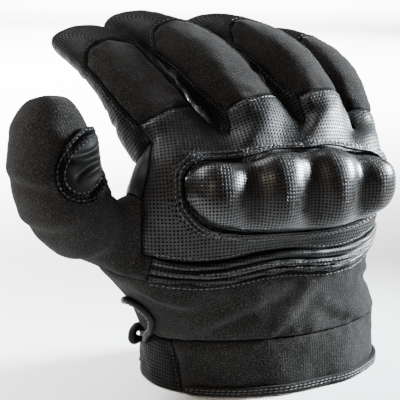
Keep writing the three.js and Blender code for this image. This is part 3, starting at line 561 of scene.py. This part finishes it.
class Finish:
    """A material's node tree under construction"""

    def __init__(self, name):
        self.material = bpy.data.materials.new(name)
        self.material.use_nodes = True
        self.nodes = self.material.node_tree.nodes
        self.links = self.material.node_tree.links
        self.shader = self.nodes["Principled BSDF"]

    def add(self, kind, **settings):
        """A node with its properties and socket values set; links are given as sockets"""
        node = self.nodes.new("ShaderNode" + kind)
        for key, value in settings.items():
            if hasattr(node, key):
                setattr(node, key, value)
                continue
            socket = node.inputs[int(key[1:])] if key[1:].isdigit() else node.inputs[key]
            if isinstance(value, bpy.types.NodeSocket):
                self.links.new(value, socket)
            else:
                socket.default_value = value
        return node

    def maths(self, operation, first, second=0.0, third=0.0):
        return self.add("Math", operation=operation, i0=first, i1=second, i2=third).outputs[0]

    def vectors(self, operation, first, second=(0, 0, 0)):
        return self.add("VectorMath", operation=operation, i0=first, i1=second)

    def between(self, value, low, high, start=0.0, end=1.0):
        """Takes value from low..high to start..end, smoothly"""
        node = self.add("MapRange", interpolation_type="SMOOTHSTEP")
        for socket, amount in zip(node.inputs, (value, low, high, start, end)):
            if isinstance(amount, bpy.types.NodeSocket):
                self.links.new(amount, socket)
            else:
                socket.default_value = amount
        return node.outputs[0]

    def colours(self, share, dark, light):
        node = self.add("Mix", data_type="RGBA")
        for socket, value in zip((node.inputs[0], node.inputs[6], node.inputs[7]), (share, dark, light)):
            if isinstance(value, bpy.types.NodeSocket):
                self.links.new(value, socket)
            else:
                socket.default_value = value
        return node.outputs[2]

    def scaled(self, vector, factor):
        node = self.vectors("SCALE", vector)
        node.inputs["Scale"].default_value = factor
        return node.outputs[0]

    def places(self):
        """Object coordinates, in millimetres"""
        return self.scaled(self.add("TexCoord").outputs["Object"], 1000)

    def cloth(self, pitch=1.0):
        """The piece's own flat map, in steps of a pitch in millimetres"""
        return self.scaled(self.add("UVMap", uv_map="cloth").outputs[0], 1000 / pitch)

    def shade(self, **values):
        """Sets or links the shader's sockets"""
        for key, value in values.items():
            socket = self.shader.inputs[key.replace("_", " ")]
            if isinstance(value, bpy.types.NodeSocket):
                self.links.new(value, socket)
            else:
                socket.default_value = value


def grey(value, warmth=0.0):
    return (value * (1 + warmth), value, value * (1 - warmth), 1)


def knit():
    """Black ribbed knit with a fuzz that catches the light"""
    f = Finish("knit")
    split = f.add("SeparateXYZ", i0=f.cloth())
    fuzz = f.add("TexNoise", Vector=f.places(), Scale=2.2, Detail=3, Roughness=0.7)
    slow = f.add("TexNoise", Vector=f.places(), Scale=0.05, Detail=2)
    wander = f.maths("MULTIPLY", fuzz.outputs[0], 3.2)
    across = f.maths("ADD", f.maths("MULTIPLY", split.outputs[0], 2 * math.pi / 1.05), wander)
    along = f.maths("MULTIPLY", split.outputs[1], 2 * math.pi / 0.8)
    rib = f.maths("SINE", across)
    leg = f.maths("SINE", f.maths("ADD", along, f.maths("MULTIPLY", f.maths("ABSOLUTE", rib), 1.6)))
    height = f.maths("ADD", f.maths("MULTIPLY", rib, 0.32), f.maths("MULTIPLY", leg, 0.35))
    height = f.maths("ADD", height, f.maths("MULTIPLY", fuzz.outputs[0], 3.0))
    lint = f.between(fuzz.outputs[0], 0.5, 0.68)
    base = f.colours(f.between(slow.outputs[0], 0.35, 0.65), grey(0.0025, 0.12), grey(0.005, 0.1))
    colour = f.colours(f.maths("MULTIPLY", lint, 0.75), base, grey(0.045, 0.07))
    bump = f.add("Bump", Height=height, Strength=0.6, Distance=0.0002)
    f.shade(Base_Color=colour, Roughness=0.95, Specular_IOR_Level=0.06, Normal=bump.outputs[0])
    f.shade(Sheen_Weight=0.05, Sheen_Roughness=0.6, Sheen_Tint=grey(0.6))
    return f.material


def leather(name, pitch, hole, rough, spec, grain=1.0, rim=None):
    """Black leather with a fine grain, perforated at a pitch and width in mm unless pitch is 0; with a rim,
    only that many mm of the piece's edge"""
    f = Finish(name)
    places = f.places()
    pebbles = f.add("TexVoronoi", feature="DISTANCE_TO_EDGE", Vector=places, Scale=1.6)
    crumple = f.add("TexNoise", Vector=places, Scale=0.45, Detail=4, Roughness=0.6)
    slow = f.add("TexNoise", Vector=places, Scale=0.06, Detail=2)
    furrow = f.between(pebbles.outputs[0], 0.0, 0.12)
    height = f.maths("MULTIPLY", crumple.outputs[0], grain)
    height = f.maths("ADD", f.maths("MULTIPLY", furrow, 0.25 * grain), height)
    colour = f.colours(f.between(slow.outputs[0], 0.35, 0.7), grey(0.0012, 0.16), grey(0.003, 0.12))
    rough = f.between(crumple.outputs[0], 0.3, 0.7, rough - 0.06, rough + 0.08)
    if pitch:
        cell = f.vectors("FRACTION", f.cloth(pitch)).outputs[0]
        off = f.vectors("LENGTH", f.vectors("SUBTRACT", cell, (0.5, 0.5, 0)).outputs[0]).outputs["Value"]
        solid = f.between(off, hole / pitch * 0.36, hole / pitch * 0.62)
        if rim:
            edge = f.add("Attribute", attribute_name="edge").outputs["Fac"]
            solid = f.maths("MAXIMUM", solid, f.between(edge, rim, rim + 0.3))
        height = f.maths("ADD", height, f.maths("MULTIPLY", solid, 2.4))
        # The holes are painted near black: they are real openings, and their darkness is painted shade inside
        # each hole
        colour = f.colours(solid, grey(0.0008), colour)
        rough = f.maths("ADD", rough, f.maths("MULTIPLY", f.maths("SUBTRACT", 1.0, solid), 0.4))
        spec = f.maths("MULTIPLY", solid, spec)
    bump = f.add("Bump", Height=height, Strength=0.7, Distance=0.00012)
    f.shade(Base_Color=colour, Roughness=rough, Specular_IOR_Level=spec, Normal=bump.outputs[0])
    return f.material


def thread(name, low, high, spec):
    """Bonded black thread, twisted; low and high: its greys, which hold painted light: the copy for rows that
    catch the light is painted lighter, the copy for rows in shade darker
    """
    f = Finish(name)
    places = f.places()
    lay = f.add("TexNoise", Vector=places, Scale=1.5, Detail=2)
    bump = f.add("Bump", Height=lay.outputs[0], Strength=0.5, Distance=0.0001)
    colour = f.colours(f.between(lay.outputs[0], 0.4, 0.65), grey(low), grey(high))
    f.shade(Base_Color=colour, Roughness=0.38, Specular_IOR_Level=spec, Normal=bump.outputs[0])
    return f.material


def piping():
    """Turned-in edges deep in a seam: black and dull"""
    f = Finish("piping")
    places = f.places()
    nap = f.add("TexNoise", Vector=places, Scale=1.2, Detail=3)
    bump = f.add("Bump", Height=nap.outputs[0], Strength=0.6, Distance=0.0002)
    colour = f.colours(nap.outputs[0], grey(0.0006), grey(0.003))
    f.shade(Base_Color=colour, Roughness=0.9, Specular_IOR_Level=0.03, Normal=bump.outputs[0])
    return f.material


# Pieces whose finish differs from their slot's
OWN_FINISH = {
    "guard_border": "perforated_leather", "thumb_patch": "patch_leather", "cuff_tab": "finger_leather",
}
OWN_FINISH.update({"finger_front_" + digit: "finger_leather" for digit in DIGITS})
# leather: pitch, hole, rough, spec and, of the guard, grain
MATERIALS = {
    "piping": piping(),
    "knit": knit(),
    "perforated_leather": leather("perforated_leather", 1.35, 0.7, 0.42, 0.19),
    "finger_leather": leather("finger_leather", 1.35, 0.72, 0.54, 0.08),
    "palm_leather": leather("palm_leather", 0, 0, 0.5, 0.13),
    "patch_leather": leather("patch_leather", 1.35, 0.75, 0.58, 0.035, rim=3.4),
    "guard_leather": leather("guard_leather", 1.2, 0.68, 0.3, 0.38, 0.2),
    # One thread in two copies: the first is painted lighter for the rows that catch the light, the second is
    # painted darker, as painted shade, for the rows that lie in shade
    "thread": thread("thread", 0.003, 0.03, 0.8),
    "shaded_thread": thread("shaded_thread", 0.001, 0.008, 0.2),
}
# Rows of stitches. on, beside: the piece they are sewn through, and whose edge they follow; with none, its
# whole outer edge. inset: from that edge. The sizes are in mm.
SIDE_SEAMS = [{"on": "finger_front_" + d, "beside": ["finger_back_" + d], "inset": 1.5} for d in DIGITS]
ROOTS = [{"on": "knuckle_panel", "beside": ["finger_back_" + d], "inset": 1.6} for d in DIGITS]
STITCH_ROWS = SIDE_SEAMS + ROOTS + [
    {"on": "knuckle_panel", "beside": ["flex_panel"], "inset": 1.4},
    {"on": "wrist_knit", "beside": ["flex_panel"], "inset": 1.2},
    {"on": "cuff_tab", "beside": ["cuff_band_back"], "inset": 1.3},
    {"on": "flex_panel", "beside": ["wrist_knit"], "inset": 3.4},
    {"on": "flex_panel", "beside": ["wrist_knit"], "inset": 6.8},
    {"on": "hem_binding", "beside": None, "inset": 0.9},
    {"on": "guard_border", "beside": None, "inset": 1.1},
    {"on": "guard_border", "beside": None, "inset": 2.7},
    {"on": "thumb_patch", "beside": None, "inset": 1.1},
    {"on": "thumb_patch", "beside": None, "inset": 3.6},
]
SHADE_PAINTED_THREAD_ON = ["cuff_tab", "thumb_patch"] + ["finger_front_" + digit for digit in DIGITS]  # sewn with the copy of the thread painted darker, as painted shade
STITCH = {"pitch": 1.9, "long": 1.45, "wide": 0.42, "deep": 0.4}
# Piping in the seams. depth: from the surface to its middle. Two seams have a fuller one.
WELT = {"radius": 0.5, "depth": 0.62}
FULL_WELT = {"radius": 0.75, "depth": 0.45}
FULL_WELTS = [("finger_back_index", "finger_front_index"), ("knuckle_panel", "palm_panel")]
# The bound edge beside the wrist and the pull loop, each of leather rolled along a line
VENT_LINE = [
    (-54.5, 1, 31), (-56.3, -3.5, 33), (-54, -8.8, 32), (-51.3, -11, 29.3), (-49.1, -11, 26),
    (-48.2, -8.3, 21.9), (-47.9, -3.4, 18.6), (-46, 1.5, 15.5),
]
VENT_ROLL = {"radius": 1.3, "middle": (-55, 0, 23)}  # middle: what it curls around
LOOP = {
    "middle": (-47.1, 7.4, 16.1), "along": (0.3, 0.1, 0.95), "out": (-0.95, -0.3, 0.1),
    "tall": 2.7, "deep": 1.9, "radius": 1.55,
}


def soften(line, times):
    """Evens out a line of points between its ends"""
    for _ in range(times):
        line[1:-1] = (line[:-2] + 2 * line[1:-1] + line[2:]) / 4
    return line


def stitched_line(panel, row):
    """The places of a row of stitches on a panel before it is dressed, as lines of points"""
    runs = [panel.loops[0] + panel.loops[0][:1]] if row["beside"] is None else panel.runs(row["beside"])
    lines = []
    for run in runs:
        ahead = np.gradient(panel.points[run], axis=0)
        inward = np.array([panel.inward[v] for v in run])
        inward = units(inward - units(ahead) * (inward * units(ahead)).sum(axis=1)[:, None])
        lines.append(soften(panel.points[run] + inward * row["inset"] * MM, 4))
    return lines


def evenly(line, pitch):
    """Points at equal steps along a line, and the way ahead at each"""
    travelled = np.concatenate([[0], np.cumsum(lengths(np.diff(line, axis=0)))])
    count = max(2, round(travelled[-1] / pitch))
    stops = (np.arange(count) + 0.5) * travelled[-1] / count
    before, places, after = (
        np.stack([np.interp(stops + shift, travelled, line[:, axis]) for axis in range(3)], axis=1)
        for shift in (-pitch / 4, 0, pitch / 4)
    )
    return places, units(after - before)


def model_stitch():
    """One stitch of round thread, lying along X with its ends drawn in"""
    bpy.ops.object.select_all(action="DESELECT")
    bpy.ops.mesh.primitive_uv_sphere_add(segments=8, ring_count=6, radius=0.5, rotation=(0, math.pi / 2, 0))
    bpy.ops.object.transform_apply()
    stitch = bpy.context.active_object
    stitch.name = "stitch"
    bpy.ops.object.shade_smooth()
    return stitch


def sew(surface, lines, stitch, name):
    """Copies the stitch along lines over a dressed surface and joins the copies"""
    size = Matrix.Diagonal((STITCH["long"] * MM, STITCH["wide"] * MM, STITCH["deep"] * MM, 1))
    copies = []
    for line in lines:
        for place, ahead in zip(*evenly(line, STITCH["pitch"] * MM)):
            spot, out, _, _ = surface.find_nearest(place)
            along = (Vector(ahead) - out * Vector(ahead).dot(out)).normalized()
            turn = Matrix((along, out.cross(along), out)).transposed().to_4x4()
            copy = bpy.data.objects.new(name, stitch.data.copy())
            copy.data.transform(Matrix.Translation(spot + out * 0.04 * MM) @ turn @ size)
            bpy.context.scene.collection.objects.link(copy)
            copies.append(copy)
    only(copies[0])
    for copy in copies:
        copy.select_set(True)
    bpy.ops.object.join()
    return copies[0]


def lay_cord(line, radius, name, fineness=2):
    """A round cord along a line of points"""
    curve = bpy.data.curves.new(name, "CURVE")
    curve.dimensions = "3D"
    curve.bevel_depth = radius
    curve.bevel_resolution = fineness
    curve.use_fill_caps = True
    spline = curve.splines.new("POLY")
    spline.points.add(len(line) - 1)
    spline.points.foreach_set("co", np.concatenate([line, np.ones((len(line), 1))], axis=1).ravel())
    cord = bpy.data.objects.new(name, curve)
    bpy.context.scene.collection.objects.link(cord)
    only(cord)
    bpy.ops.object.convert(target="MESH")
    bpy.ops.object.shade_smooth()
    return cord


def finish_piece(piece, slot, finish=None):
    piece.data.materials.clear()
    piece.data.materials.append(MATERIALS[finish or slot])
    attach(piece, "root")


def rolled_line(stations, count):
    """A smooth line of points past stations given in mm"""
    stations = np.array(stations, dtype=float) * MM
    steps = np.linspace(0, len(stations) - 1, count)
    line = np.stack([np.interp(steps, range(len(stations)), stations[:, axis]) for axis in range(3)], axis=1)
    return soften(line, 10)


def ring_line(shape, count):
    """A loop open at its back, whose ends lie within the cuff"""
    turn = np.radians(np.linspace(-155, 155, count))[:, None]
    middle, along, out = (np.array(shape[key]) for key in ("middle", "along", "out"))
    return (middle + np.cos(turn) * out * shape["deep"] + np.sin(turn) * along * shape["tall"]) * MM


def note_edge(panel):
    """Keeps how far each point of a piece lies from its cut edge, in mm, for its finish"""
    off = panel.from_edge([loop + loop[:1] for loop in panel.loops]) / MM
    layer = panel.mesh.attributes.new("edge", "FLOAT", "POINT")
    layer.data.foreach_set("value", off[panel.twin])


# Dressing of the panels, before the sewing
guard_edge = panels["knuckle_guard"].points[panels["knuckle_guard"].loops[0]]
guard_tip = guard_edge[guard_edge[:, 0].argmin()]
for node in ("knuckle_guard", "guard_border"):
    panels[node].widen_end(guard_tip, GUARD_END)
    panels[node].round_outline(90, 5)
rows = [(row, stitched_line(panels[row["on"]], row)) for row in STITCH_ROWS]
panels["knuckle_guard"].smooth(40, 2.4)
amounts = {node: relief(panel) for node, panel in panels.items()}
for node, amount in amounts.items():
    panels[node].lift(amount)
note_edge(panels["thumb_patch"])

stitch = model_stitch()
for node in sorted({row["on"] for row in STITCH_ROWS}):
    lines = [line for row, found in rows if row["on"] == node for line in found]
    surface = BVHTree.FromPolygons(panels[node].points.tolist(), panels[node].quads.tolist())
    # Rows in shade take the thread painted darker, the others the thread painted lighter
    finish = "shaded_thread" if node in SHADE_PAINTED_THREAD_ON else "thread"
    finish_piece(sew(surface, lines, stitch, "thread_on_" + node), "thread", finish)

roll_line = rolled_line(VENT_LINE, 64)
rolls = {
    "vent_binding": lay_cord(roll_line, VENT_ROLL["radius"] * MM, "vent_binding_rolled", 5),
    "pull_loop": lay_cord(ring_line(LOOP, 40), LOOP["radius"] * MM, "pull_loop_rolled", 5),
}
for node, roll in rolls.items():
    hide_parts(node)
    finish_piece(roll, "palm_leather")
inside = units(np.array(VENT_ROLL["middle"]) * MM - roll_line)
leaning = roll_line + (inside + np.array([-0.6, -0.5, 0])) * VENT_ROLL["radius"] * MM
roll = rolls["vent_binding"].data
surface = BVHTree.FromPolygons(points_of(roll).tolist(), [list(face.vertices) for face in roll.polygons])
finish_piece(sew(surface, [leaning[6:-4]], stitch, "thread_on_vent_binding"), "thread")
bpy.data.objects.remove(stitch)

for node, other in [(node, other) for node in SKIN for other in SKIN if node < other]:
    welt = FULL_WELT if (node, other) in FULL_WELTS else WELT
    across = np.concatenate(panels[other].loops)
    for i, run in enumerate(panels[node].runs([other])):
        edge = panels[node].points[run]
        facing = panels[other].points[[across[edge_trees[other].find(p)[1]] for p in edge]]
        line = soften((edge + facing) / 2 - panels[node].normals[run] * welt["depth"] * MM, 3)
        cord = lay_cord(line[::2], welt["radius"] * MM, f"welt_{node}_{other}_{i + 1}")
        finish_piece(cord, "thread", "piping")

for node, panel in panels.items():
    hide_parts(node)
    finish_piece(panel.piece, FINISH_OF[node], OWN_FINISH.get(node))

# Stage, light and camera
VIEW = {"azimuth": -27, "elevation": 11, "distance": 450, "lens": 109}
TARGET = Vector((-19.5, 10, 63)) * MM


def plain(name, value, rough=0.9):
    f = Finish(name)
    f.shade(Base_Color=grey(value), Roughness=rough)
    return f.material


def make_stage():
    bpy.ops.mesh.primitive_circle_add(vertices=96, radius=6, fill_type="NGON", location=(0, 0, -0.0006))
    floor = bpy.context.active_object
    floor.name = "floor"
    floor.data.materials.append(plain("pale_floor", 0.93))


def hang(name, data, place, at):
    light = bpy.data.objects.new(name, data)
    bpy.context.scene.collection.objects.link(light)
    light.location = place
    light.rotation_euler = (at - place).to_track_quat("-Z", "Y").to_euler()


def make_light(name, place, size, watts, colour=(1, 1, 1)):
    """A square soft light at a place in metres, turned to the glove"""
    data = bpy.data.lights.new(name, "AREA")
    data.size = size
    data.energy = watts
    data.color = colour
    hang(name, data, place, TARGET)


def make_spot(name, place, at, degrees, watts, radius=0.2, colour=(1, 1, 1)):
    """A round soft light with a cone; those of the floor miss the glove"""
    data = bpy.data.lights.new(name, "SPOT")
    data.spot_size = math.radians(degrees)
    data.spot_blend = 0.45
    data.shadow_soft_size = radius
    data.energy = watts
    data.color = colour
    hang(name, data, place, at)


def make_camera():
    a, e = math.radians(VIEW["azimuth"]), math.radians(VIEW["elevation"])
    back = Vector((math.sin(a) * math.cos(e), -math.cos(a) * math.cos(e), math.sin(e)))
    data = bpy.data.cameras.new("camera")
    data.lens = VIEW["lens"]
    data.clip_start = 0.01
    camera = bpy.data.objects.new("camera", data)
    bpy.context.scene.collection.objects.link(camera)
    camera.location = TARGET + back * VIEW["distance"] * MM
    camera.rotation_euler = (-back).to_track_quat("-Z", "Y").to_euler()
    bpy.context.scene.camera = camera


make_stage()
make_spot("key", Vector((0.43, -0.06, 0.21)), Vector((0.01, -0.01, 0.075)), 38, 104, 0.075, (0.86, 0.94, 1))
make_light("fill", Vector((-0.8, -0.6, 0.3)), 0.5, 1.6, (1, 0.76, 0.56))
make_light("front", Vector((-0.5, -0.45, 0.62)), 0.16, 1.15, (1, 0.84, 0.7))
make_light("overhead", Vector((-0.3, 0.8, 1.3)), 0.9, 23)
make_spot("near_floor", Vector((0.3, 1.3, 1.5)), Vector((0.3, 1.4, 0)), 84, 1500)
make_spot("left_floor", Vector((-0.75, 0.35, 0.9)), Vector((-0.6, 0.4, 0)), 74, 290)
make_spot("far_floor", Vector((2, 4.1, 2.8)), Vector((2.2, 4.5, 0)), 110, 4500)
world = bpy.data.worlds.new("studio")
world.use_nodes = True
world.node_tree.nodes["Background"].inputs[0].default_value = (1, 0.95, 0.89, 1)
world.node_tree.nodes["Background"].inputs[1].default_value = 0.24
bpy.context.scene.world = world
make_camera()
